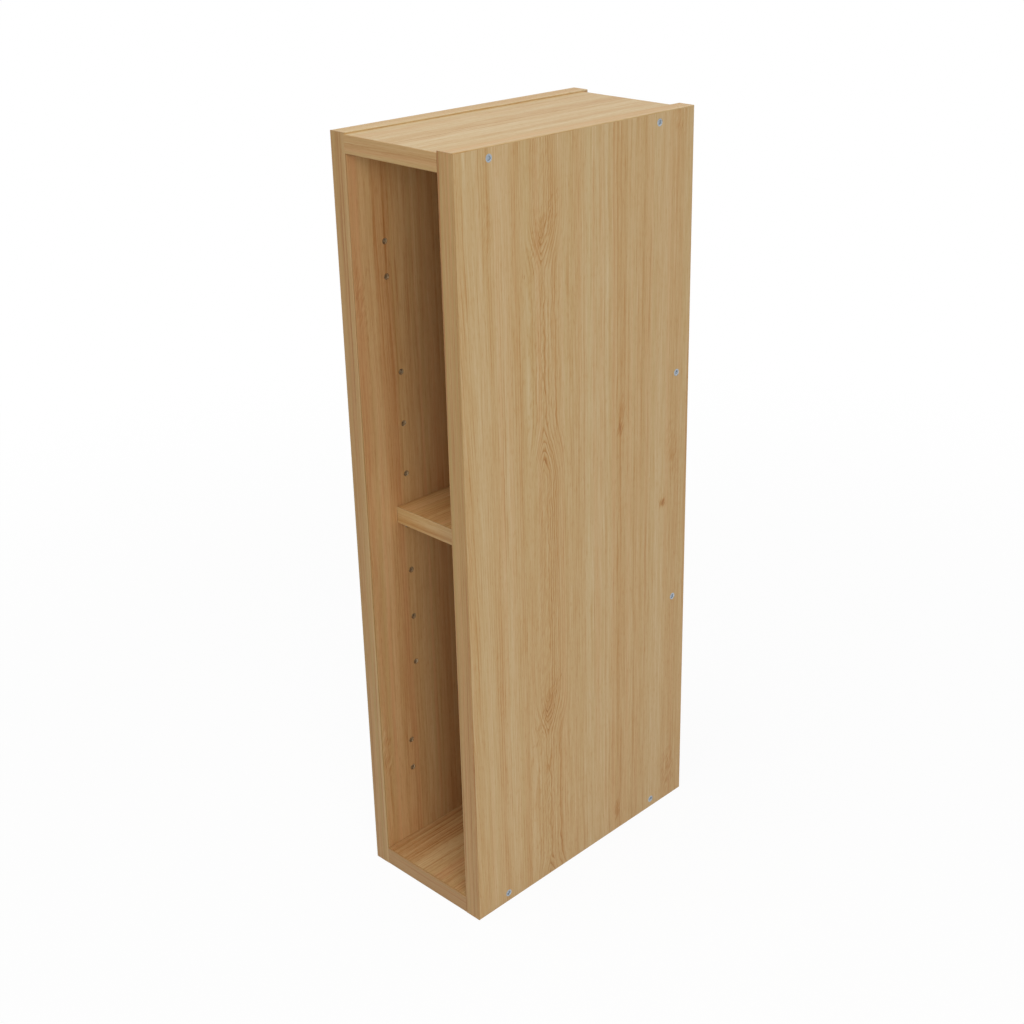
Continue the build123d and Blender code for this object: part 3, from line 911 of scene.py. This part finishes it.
def addConnectorScrew(shape, place):
    look = connectorScrew
    count, length, root = look["count"], look["length"], look["threadRoot"]
    head, socket, shank = look["headRadius"], look["socketRadius"], look["shankRadius"]
    deep, cone = -look["socketDepth"], shank - head
    rings = turned(
        count,
        (0.0, deep - 4 * hair), (hexagonal(socket * 0.92), deep), (hexagonal(socket * 0.95), -3 * hair),
        (hexagonal(socket), -hair), (socket + 2 * hair, 0.0), (head - 3 * hair, 0.0),
        (head - hair, -hair / 2), (head, -2 * hair), (head, -4 * hair), (shank + hair, cone - 4 * hair),
        (shank, cone - 8 * hair), (shank, 4 * hair - look["threadStart"]),
    )
    tipStart = length - look["tip"]
    rings += threadRings(look["threadStart"], tipStart, root, look["threadCrest"], look["pitch"], count)
    rings += turned(count, (root * 0.55, 10 * hair - length), (0.0, -length))
    addLoft(shape, rings, place)


dice = random.Random(4)


def spun():
    # screws end up turned at random
    return Matrix.Rotation(dice.uniform(0.0, math.tau), 4, "Z")


for side, sign in sideSign.items():
    headX = sign * (halfOutside - connectorScrew["sink"])
    corners = [(y, z) for y in connectorScrew["cornerY"] for z in connectorScrew["cornerZ"]]
    rears = [(connectorScrew["backY"], z) for z in connectorScrew["backZ"]]
    for part, places in (("corner_screws", corners), ("back_screws", rears)):
        shape = newShape()
        for y, z in places:
            addConnectorScrew(shape, facing(headX, y, z, sign) @ spun())
        settle(toObject(f"{side}_{part}_turned", shape), "cabinet", "zinc_screws", f"{side}_{part}")
print("connector screws made")

# Beech dowels with pressed flutes
dowel = dict(
    radius=0.004, length=0.030, inSide=0.011, chamfer=0.001, flutes=18, fluteDepth=0.00025,
    rows=(-0.078, 0.070), heights={"top": 0.7255, "bottom": 0.009},
)


def fluted(radius):
    def reach(angle):
        wave = 0.5 - 0.5 * math.cos(angle * dowel["flutes"])
        return radius - dowel["fluteDepth"] * wave**3

    return reach


def addDowel(shape, place):
    radius, length, chamfer = dowel["radius"], dowel["length"], dowel["chamfer"]
    end, shoulder, rim = radius - chamfer, fluted(radius - chamfer * 0.3), chamfer * 0.45
    rings = turned(
        dowel["flutes"] * 6,
        (0.0, 0.0), (end, 0.0), (shoulder, -rim), (fluted(radius), -chamfer),
        (fluted(radius), chamfer - length), (shoulder, rim - length), (end, -length), (0.0, -length),
    )
    addLoft(shape, rings, place)


for level, height in dowel["heights"].items():
    shape = newShape()
    for sign in sideSign.values():
        for y in dowel["rows"]:
            addDowel(shape, facing(sign * (halfInside + dowel["inSide"]), y, height, sign))
    settle(toObject(f"{level}_dowels_fluted", shape), "cabinet", "beech", f"{level}_dowels")
print("dowels made")

# Shelf pins: a peg with two grooves, and an angle plate bent from sheet
shelfPin = dict(
    pegRadius=0.00245, pegLength=0.009, pegSink=0.001, grooves=(0.0025, 0.0050), sheet=0.0016, edge=0.0002,
    bend=0.0012, bendSteps=8, halfWidth=0.0055, reach=0.009, rise=0.0045, fall=0.004,
    endRound=0.0035, endSteps=(0.0, 0.08, 0.25, 0.5, 0.75, 1.0, 1.4, 2.0),
    height=0.362, rows={"front": -0.101, "rear": 0.091},
)


def stripRings(path, look):
    # cross sections of sheet along a path of (out, up, outward direction), rounded at the corners
    lengths = [0.0]
    for (out, up, _), (nextOut, nextUp, _) in zip(path, path[1:]):
        lengths.append(lengths[-1] + math.hypot(nextOut - out, nextUp - up))
    rings = []
    half, edge, endRound = look["sheet"] / 2, look["edge"], look["endRound"]
    for (out, up, lean), run in zip(path, lengths):
        near = min(run, lengths[-1] - run)
        width = look["halfWidth"]
        if near < endRound:
            width -= endRound - math.sqrt(max(endRound**2 - (endRound - near) ** 2, 0.0))
        flat, low = width - edge, edge - half
        section = [(-width, low), (-flat, -half), (flat, -half), (width, low)]
        section += [(-across, -through) for across, through in section]
        points = []
        for across, through in section:
            points.append((out + math.cos(lean) * through, across, up + math.sin(lean) * through))
        rings.append(points)
    closing = [sum((Vector(point) for point in ring), Vector()) / len(ring) for ring in (rings[0], rings[-1])]
    return [[tuple(closing[0])], *rings, [tuple(closing[1])]]


def addShelfPin(shape, side, y):
    look = shelfPin
    sign = sideSign[side]
    half = look["sheet"] / 2
    top = look["rise"] - half
    bend = look["bend"] + half
    steps = [step * look["endRound"] / 2 for step in look["endSteps"]]
    path = [(half, step - look["fall"], math.pi) for step in steps]
    path.append((half, top - bend, math.pi))
    for step in range(1, look["bendSteps"]):
        turn = math.pi / 2 * step / look["bendSteps"]
        out = half + bend * (1 - math.cos(turn))
        path.append((out, top - bend + bend * math.sin(turn), math.pi - turn))
    path.append((half + bend, top, math.pi / 2))
    path += [(look["reach"] - step, top, math.pi / 2) for step in reversed(steps)]
    place = Matrix(((-sign, 0, 0, sign * halfInside), (0, 1, 0, y), (0, 0, 1, look["height"]), (0, 0, 0, 1)))
    addLoft(shape, stripRings(path, look), place)
    radius, length = look["pegRadius"], look["pegLength"]
    narrow = radius - 3 * hair
    profile = [(0.0, look["pegSink"]), (radius, look["pegSink"])]
    for depth in look["grooves"]:
        profile += [(radius, -depth), (narrow, -depth - 3 * hair)]
        profile += [(narrow, -depth - 8 * hair), (radius, -depth - 11 * hair)]
    profile += [(radius, 9 * hair - length), (narrow, 4 * hair - length)]
    profile += [(radius - 9 * hair, -length), (0.0, -length)]
    addLoft(shape, turned(32, *profile), facing(sign * halfInside, y, look["height"], -sign))


for side in sideSign:
    for end, y in shelfPin["rows"].items():
        shape = newShape()
        addShelfPin(shape, side, y)
        piece = toObject(f"{side}_{end}_shelf_pin_bent", shape)
        settle(piece, "cabinet", "nickel_steel", f"{side}_{end}_shelf_pin")
print("shelf pins made")

# Hangers. Distances across are measured from the inner face of a side.
hanger = dict(
    drop=(0.6575, 0.7135), lugFront=0.048, bodyFront=0.064, rear=0.124, middle=0.009,
    base=0.0025, wall=0.002, wallInset=0.00006, coverFrom=0.0155, coverTo=0.017, coverBorder=0.004,
    lugScrewY=0.056, lugScrewZ=(0.6675, 0.7035), lugHole=0.00205, lugRim=(0.0044, 0.0052),
    heightHole=(0.696, 0.004), depthHole=(0.676, 0.0021), ribThickness=0.0016, ribRise=0.011,
    grips=(0.675, 0.6855, 0.696), gripInset=0.012, gripHalf=0.0011, lip=(0.0022, 0.0032),
)


def makeHousing(side):
    look = hanger
    low, high = look["drop"]
    front, body, rear = look["lugFront"], look["bodyFront"], look["rear"]
    base, wall, step = look["base"], look["wall"], look["wallInset"]
    screwY, screwZs = look["lugScrewY"], look["lugScrewZ"]
    place = fromInside(side)
    outline = mirroredLoop(low, high, [(front, 0.0, 0.003), (rear, 0.0, 0.0004)])
    holes = [holeLoop(screwY, z, look["lugHole"]) for z in screwZs]
    sheet = makePlate([outline, *holes], 0.0, base, 3 * hair, place)
    piece = toObject(f"{side}_hanger_housing_moulded", sheet)

    # the walls stand a hair inside the edge of the base
    corners = [(body, step, 0.0015), (rear - step, step, 0.0003)]
    corners += [(rear - step, wall, 0.0003), (body + wall, wall, 0.0008)]
    outline = mirroredLoop(low, high, corners)
    extras = [makePlate([outline], base - 8 * hair, look["coverFrom"], 0.00025, place)]

    # a web that stiffens the lug, and a raised ring round each screw hole
    middle, half = (low + high) / 2, look["ribThickness"] / 2
    foot, rise = base - 6 * hair, look["ribRise"]
    outline = [
        (front + 0.003, foot), (body + 6 * hair, foot), (body + 6 * hair, rise),
        (body - 10 * hair, rise - 5 * hair), (front + 0.004, base + 6 * hair),
    ]
    extras.append(makePlate([outline], middle - half, middle + half, 2 * hair, upright(side)))
    for z in screwZs:
        inner, outer = (holeLoop(screwY, z, radius) for radius in look["lugRim"])
        rim = [list(reversed(outer)), inner]
        extras.append(makePlate(rim, base - 4 * hair, base + 6 * hair, 2 * hair, place))
    combine(piece, "UNION", extras)

    cutters = []
    for z, radius in (look["heightHole"], look["depthHole"]):
        wide, through = radius + 4 * hair, -wall - 10 * hair
        profile = [(0.0, 10 * hair), (wide, 10 * hair), (wide, 0.0)]
        profile += [(radius, -4 * hair), (radius, through), (0.0, through)]
        cutters.append(makeLoft(turned(40, *profile), forward(side, body, z)))
    combine(piece, "DIFFERENCE", cutters)
    settle(piece, "cabinet", "white_plastic", f"{side}_hanger_housing")


def makeCover(side):
    look = hanger
    low, high = look["drop"]
    front, rear, border = look["bodyFront"], look["rear"], look["coverBorder"]
    start, end = look["coverFrom"], look["coverTo"]
    place = fromInside(side)
    outline = boxLoop(front, rear, low, high, 0.0015)
    piece = toObject(f"{side}_hanger_cover_moulded", makePlate([outline], start, end, 3 * hair, place))
    outline = boxLoop(front + border, rear - border, low + border, high - border, 0.002)
    combine(piece, "DIFFERENCE", [makePlate([outline], end - 5 * hair, end + 10 * hair, hair, place)])
    extras = []
    inset, half = look["gripInset"], look["gripHalf"]
    for z in look["grips"]:
        outline = boxLoop(front + inset, rear - inset, z - half, z + half, 0.001)
        extras.append(makePlate([outline], end - 9 * hair, end - hair, 3 * hair, place))
    near, far = look["lip"]
    for bottom, top in ((low + near, low + far), (high - far, high - near)):
        outline = boxLoop(front + near, rear - 2 * hair, bottom, top, 0.0003)
        extras.append(makePlate([outline], start - 0.002, start + 6 * hair, 2 * hair, place))
    combine(piece, "UNION", extras)
    settle(piece, "cabinet", "white_plastic", f"{side}_hanger_cover")


# Pan head screws that hold the hangers
fixingScrew = dict(
    headRadius=0.004, headHeight=0.0026, headShares=(0.62, 0.74, 0.84, 0.92, 0.97, 1.0), length=0.016,
    root=0.0014, crest=0.002, pitch=0.0014, tip=0.003, recess=0.0021, recessHalfWidth=0.00048,
    recessDepth=0.0015, count=48,
)


def addFixingScrew(shape, place):
    look = fixingScrew
    count, top, head, root = look["count"], look["headHeight"], look["headRadius"], look["root"]
    recess, width, floor = look["recess"], look["recessHalfWidth"], top - look["recessDepth"]
    profile = [
        (0.0, floor),
        (crossed(recess * 0.45, width * 0.6), floor),
        (crossed(recess * 0.9, width), top - 4 * hair),
        (crossed(recess, width * 1.15), top - 0.8 * hair),
    ]
    for share in look["headShares"]:
        rise = (top - 5 * hair) * (1.0 - share**4) ** 0.5
        profile.append((head * share, 5 * hair + rise * 0.99))
    profile += [(head, 2 * hair), (head - 2 * hair, 0.0), (root + 4 * hair, 0.0), (root, -5 * hair)]
    rings = turned(count, *profile)
    rings += threadRings(8 * hair, look["length"] - look["tip"], root, look["crest"], look["pitch"], count)
    rings += turned(count, (3 * hair, 2 * hair - look["length"]), (0.0, -look["length"]))
    addLoft(shape, rings, place)


# Adjusting screws: head, neck in its wall, collar behind the wall, thread
adjusters = {
    "height": dict(y=0.0732, z=0.696, headRadius=0.0035, collarStart=0.0061, length=0.0377),
    "depth": dict(y=0.0612, z=0.676, headRadius=0.0040, collarStart=0.0051, length=0.0258),
}
adjusterThread = dict(
    headLength=0.0025, neck=0.002, root=0.0021, crest=0.0025, pitch=0.002, collar=0.0015, tip=0.0016, count=48
)


def makeAdjuster(look, place):
    thread = adjusterThread
    count, neck, root, bottom = thread["count"], thread["neck"], thread["root"], thread["headLength"]
    head, collar, length = look["headRadius"], look["collarStart"], look["length"]
    threadStart = collar + thread["collar"]
    arm, flat = head - 12 * hair, head - 2 * hair
    rings = turned(
        count,
        (0.0, -15 * hair), (crossed(arm * 0.5, 4 * hair), -14 * hair),
        (crossed(arm * 0.95, 5.5 * hair), -2 * hair), (crossed(arm, 6.2 * hair), 0.0),
        (head - 4 * hair, 0.0), (head - 1.2 * hair, -1.2 * hair), (head, -4 * hair),
        (head, 2 * hair - bottom), (flat, -bottom), (neck, -bottom), (neck, -collar),
        (flat, -collar), (head, -collar - 2 * hair),
        (head, 2 * hair - threadStart), (flat, -threadStart), (root, -threadStart),
    )
    start, end = threadStart + 2 * hair, length - 10 * hair
    rings += threadRings(start, end, root, thread["crest"], thread["pitch"], count)
    rings += turned(count, (thread["tip"], -length), (0.0, -length))
    return makeLoft(rings, place)


# Steel carriage folded to a channel, and the hook lever on its riveted pin
carriage = dict(
    across=(0.0028, 0.0152), front=0.076, wallRear=0.079, rear=0.118, heights=(0.661, 0.710),
    sheet=0.0012, pivot=(0.100, 0.668), pivotHole=0.00252, heightHole=(0.696, 0.0021),
    depthHole=(0.676, 0.0026), chamfer=0.004, spare=0.002,
)

hook = dict(
    plate=(0.007, 0.011), boss=(0.0043, 0.0137), bossRadius=0.005, pivotHole=0.0026, heel=0.0045,
    web=(0.0955, 0.1045), webTop=0.701, arm=(0.678, 0.690), finger=(0.145, 0.1485), fingerLow=0.667,
    nut=(0.097, 0.103, 0.691, 0.701), slot=(0.696, 0.00341),
)


def makeCarriage(side):
    look = carriage
    low, high = look["across"]
    bottom, top = look["heights"]
    front, wallRear, rear, sheet = look["front"], look["wallRear"], look["rear"], look["sheet"]
    corners = [(front, 0.0, 0.0016), (rear, 0.0, 0.0002), (rear, sheet, 0.0002), (wallRear, sheet, 0.0006)]
    channel = makePlate([mirroredLoop(low, high, corners)], bottom, top, 2 * hair, upright(side))
    piece = toObject(f"{side}_hanger_carriage_folded", channel)
    cut, spare = look["chamfer"], look["spare"]
    corners = [(front - spare, -spare, 0.0), (rear - cut, -spare, 0.0), (rear - hair, cut, 0.002)]
    loops = [mirroredLoop(bottom, top, corners), holeLoop(*look["pivot"], look["pivotHole"])]
    profile = makePlate(loops, low - 10 * hair, high + 10 * hair, hair, fromInside(side))
    combine(piece, "INTERSECT", [profile])
    holes = (look["heightHole"], look["depthHole"])
    cutters = [makeRod(radius, -0.006, 10 * hair, hair, forward(side, front, z)) for z, radius in holes]
    combine(piece, "DIFFERENCE", cutters)
    settle(piece, f"{side}_carriage", "zinc_sheet", f"{side}_hanger_carriage")


def makeHook(side):
    look = hook
    place = fromInside(side)
    pivotY, pivotZ = carriage["pivot"]
    pivot = place @ Matrix.Translation((pivotY, pivotZ, 0.0))
    webFront, webRear = look["web"]
    armLow, armHigh = look["arm"]
    fingerFront, fingerRear = look["finger"]
    start, end = look["boss"]
    heel, webTop = pivotZ - look["heel"], look["webTop"] - 2 * hair
    corners = [
        (webFront, heel, 0.0044), (webRear, heel, 0.0044), (webRear, armLow, 0.002),
        (fingerFront, armLow, 0.0015), (fingerFront, look["fingerLow"], 0.0012),
        (fingerRear, look["fingerLow"], 0.0012), (fingerRear, armHigh, 0.0035),
        (webRear, armHigh, 0.002), (webRear, webTop, 0.0008), (webFront, webTop, 0.0008),
    ]
    plate = makePlate([roundedLoop(corners)], *look["plate"], 4 * hair, place)
    piece = toObject(f"{side}_hook_pressed", plate)
    boss = makeRod(look["bossRadius"], start, end, 3 * hair, pivot)
    nut = makePlate([boxLoop(*look["nut"], 0.0006)], start, end, 3 * hair, place)
    combine(piece, "UNION", [boss, nut])
    bore = makeRod(look["pivotHole"], start - 10 * hair, end + 10 * hair, hair, pivot)
    slotZ, slotRadius = look["slot"]
    slot = makeRod(slotRadius, -0.011, 10 * hair, hair, forward(side, webFront, slotZ))
    combine(piece, "DIFFERENCE", [bore, slot])
    settle(piece, f"{side}_hook", "zinc_sheet", f"{side}_hook")


def makePivotPin(side):
    low, high = carriage["across"]
    # (radius, distance in from each end): a hollow riveted end on a 5 mm pin
    rivet = [(0.0, 3 * hair), (0.0010, 3 * hair), (0.0014, 0.0), (0.0020, 0.0), (0.0025, 4 * hair)]
    profile = [(radius, low + inset) for radius, inset in rivet]
    profile += [(radius, high - inset) for radius, inset in reversed(rivet)]
    place = fromInside(side) @ Matrix.Translation((*carriage["pivot"], 0.0))
    piece = toObject(f"{side}_hook_pivot_pin_riveted", makeLoft(turned(40, *profile), place))
    settle(piece, f"{side}_carriage", "zinc_screws", f"{side}_hook_pivot_pin")


for side, sign in sideSign.items():
    makeHousing(side)
    makeCover(side)
    makeCarriage(side)
    makeHook(side)
    makePivotPin(side)
    shape = newShape()
    headX = sign * (halfInside - hanger["base"])
    for z in hanger["lugScrewZ"]:
        addFixingScrew(shape, facing(headX, hanger["lugScrewY"], z, -sign) @ spun())
    piece = toObject(f"{side}_hanger_fixing_screws_turned", shape)
    settle(piece, "cabinet", "zinc_screws", f"{side}_hanger_fixing_screws")
    for part, look in adjusters.items():
        adjuster = makeAdjuster(look, forward(side, look["y"], look["z"]))
        piece = toObject(f"{side}_{part}_screw_turned", adjuster)
        settle(piece, f"{side}_{part}_screw", "zinc_screws", f"{side}_{part}_screw")
print("hangers made")

# Camera at the photograph's viewing angle: place in metres, turns about its Z, X and Z in degrees
view = {
    "place": (0.972994, -0.969000, 0.976288),
    "turns": ((42.385, "Z"), (67.763, "X"), (-0.101, "Z")),
    "sensor": 36.0,
    "lens": 54.690,
    "shift": (-0.08093, -0.05587),
    "farEnd": 200.0,
}


def makeCamera():
    data = bpy.data.cameras.new("camera")
    data.sensor_width = view["sensor"]
    data.lens = view["lens"]
    data.shift_x, data.shift_y = view["shift"]
    data.clip_end = view["farEnd"]
    camera = bpy.data.objects.new("camera", data)
    turn = Matrix.Identity(4)
    for angle, axis in view["turns"]:
        turn = turn @ Matrix.Rotation(math.radians(angle), 4, axis)
    camera.matrix_world = Matrix.Translation(view["place"]) @ turn
    bpy.context.scene.collection.objects.link(camera)
    bpy.context.scene.camera = camera


studio = {
    "floorHalf": 30.0,
    "floorColour": (0.82, 0.82, 0.82, 1.0),
    "floorShare": 0.055,  # how much of the floor's own shading the camera sees
    "shadowReach": (0.5, 1.6),
    "skyLevel": 0.33,
    "aim": (0.0, 0.0, 0.35),
    "lampSize": 1.6,
    "lampDistance": 3.3,
}
white = (1.0, 1.0, 1.0, 1.0)

# Soft lamps: degrees round from the front, degrees up, watts
lamps = {
    "frontFill": (4.0, 10.0, 18.0),
    "key": (60.0, 20.0, 37.7),
    "overhead": (0.0, 80.0, 52.0),
}


def seenDirectly(tree):
    # 1 for the camera and for what it sees in glossy or clear surfaces, 0 for the light on the object
    rays = put(tree, "LightPath", {}).outputs
    seen = larger(Value(rays["Is Camera Ray"]), Value(rays["Is Glossy Ray"]))
    return larger(seen, Value(rays["Is Transmission Ray"]))


def makeFloor():
    mesh = bpy.data.meshes.new("floor")
    half = studio["floorHalf"]
    corners = [(-half, -half, 0), (half, -half, 0), (half, half, 0), (-half, half, 0)]
    mesh.from_pydata(corners, [], [(0, 1, 2, 3)])
    floor = bpy.data.objects.new("floor", mesh)
    bpy.context.scene.collection.objects.link(floor)
    material, tree, place = startMaterial("floor")
    tree.nodes.remove(tree.nodes["Principled BSDF"])
    matt = result(tree, "BsdfDiffuse", {"Color": studio["floorColour"]})
    glow = result(tree, "Emission", {"Color": white, "Strength": 1.0})
    # the object's shadow shows near it, and the floor turns to plain white away from it
    away = result(tree, "VectorMath", {"Vector": place}, "Value", operation="LENGTH")
    share = ease(away, *studio["shadowReach"], 1.0 - studio["floorShare"], 1.0)
    mix = result(tree, "MixShader", {0: seenDirectly(tree) * share, 1: matt, 2: glow})
    feed(tree.nodes["Material Output"].inputs["Surface"], mix)
    mesh.materials.append(material)


def makeSky():
    world = bpy.data.worlds.new("studio")
    bpy.context.scene.world = world
    world.use_nodes = True
    tree = world.node_tree
    background = tree.nodes["Background"].inputs
    feed(background["Strength"], seenDirectly(tree) * (1.0 - studio["skyLevel"]) + studio["skyLevel"])
    background["Color"].default_value = white


def makeLamp(name, turnDegrees, riseDegrees, power):
    turn, rise = math.radians(turnDegrees), math.radians(riseDegrees)
    away = Vector((math.sin(turn) * math.cos(rise), -math.cos(turn) * math.cos(rise), math.sin(rise)))
    data = bpy.data.lights.new(name, "AREA")
    data.shape = "DISK"
    data.size = studio["lampSize"]
    data.energy = power
    lamp = bpy.data.objects.new(name, data)
    lamp.location = Vector(studio["aim"]) + away * studio["lampDistance"]
    lamp.rotation_euler = away.to_track_quat("Z", "Y").to_euler()
    bpy.context.scene.collection.objects.link(lamp)


makeCamera()
makeFloor()
makeSky()
for name, (turn, rise, power) in lamps.items():
    makeLamp(name, turn, rise, power)
bpy.context.scene.view_settings.view_transform = "Standard"
print("studio ready")
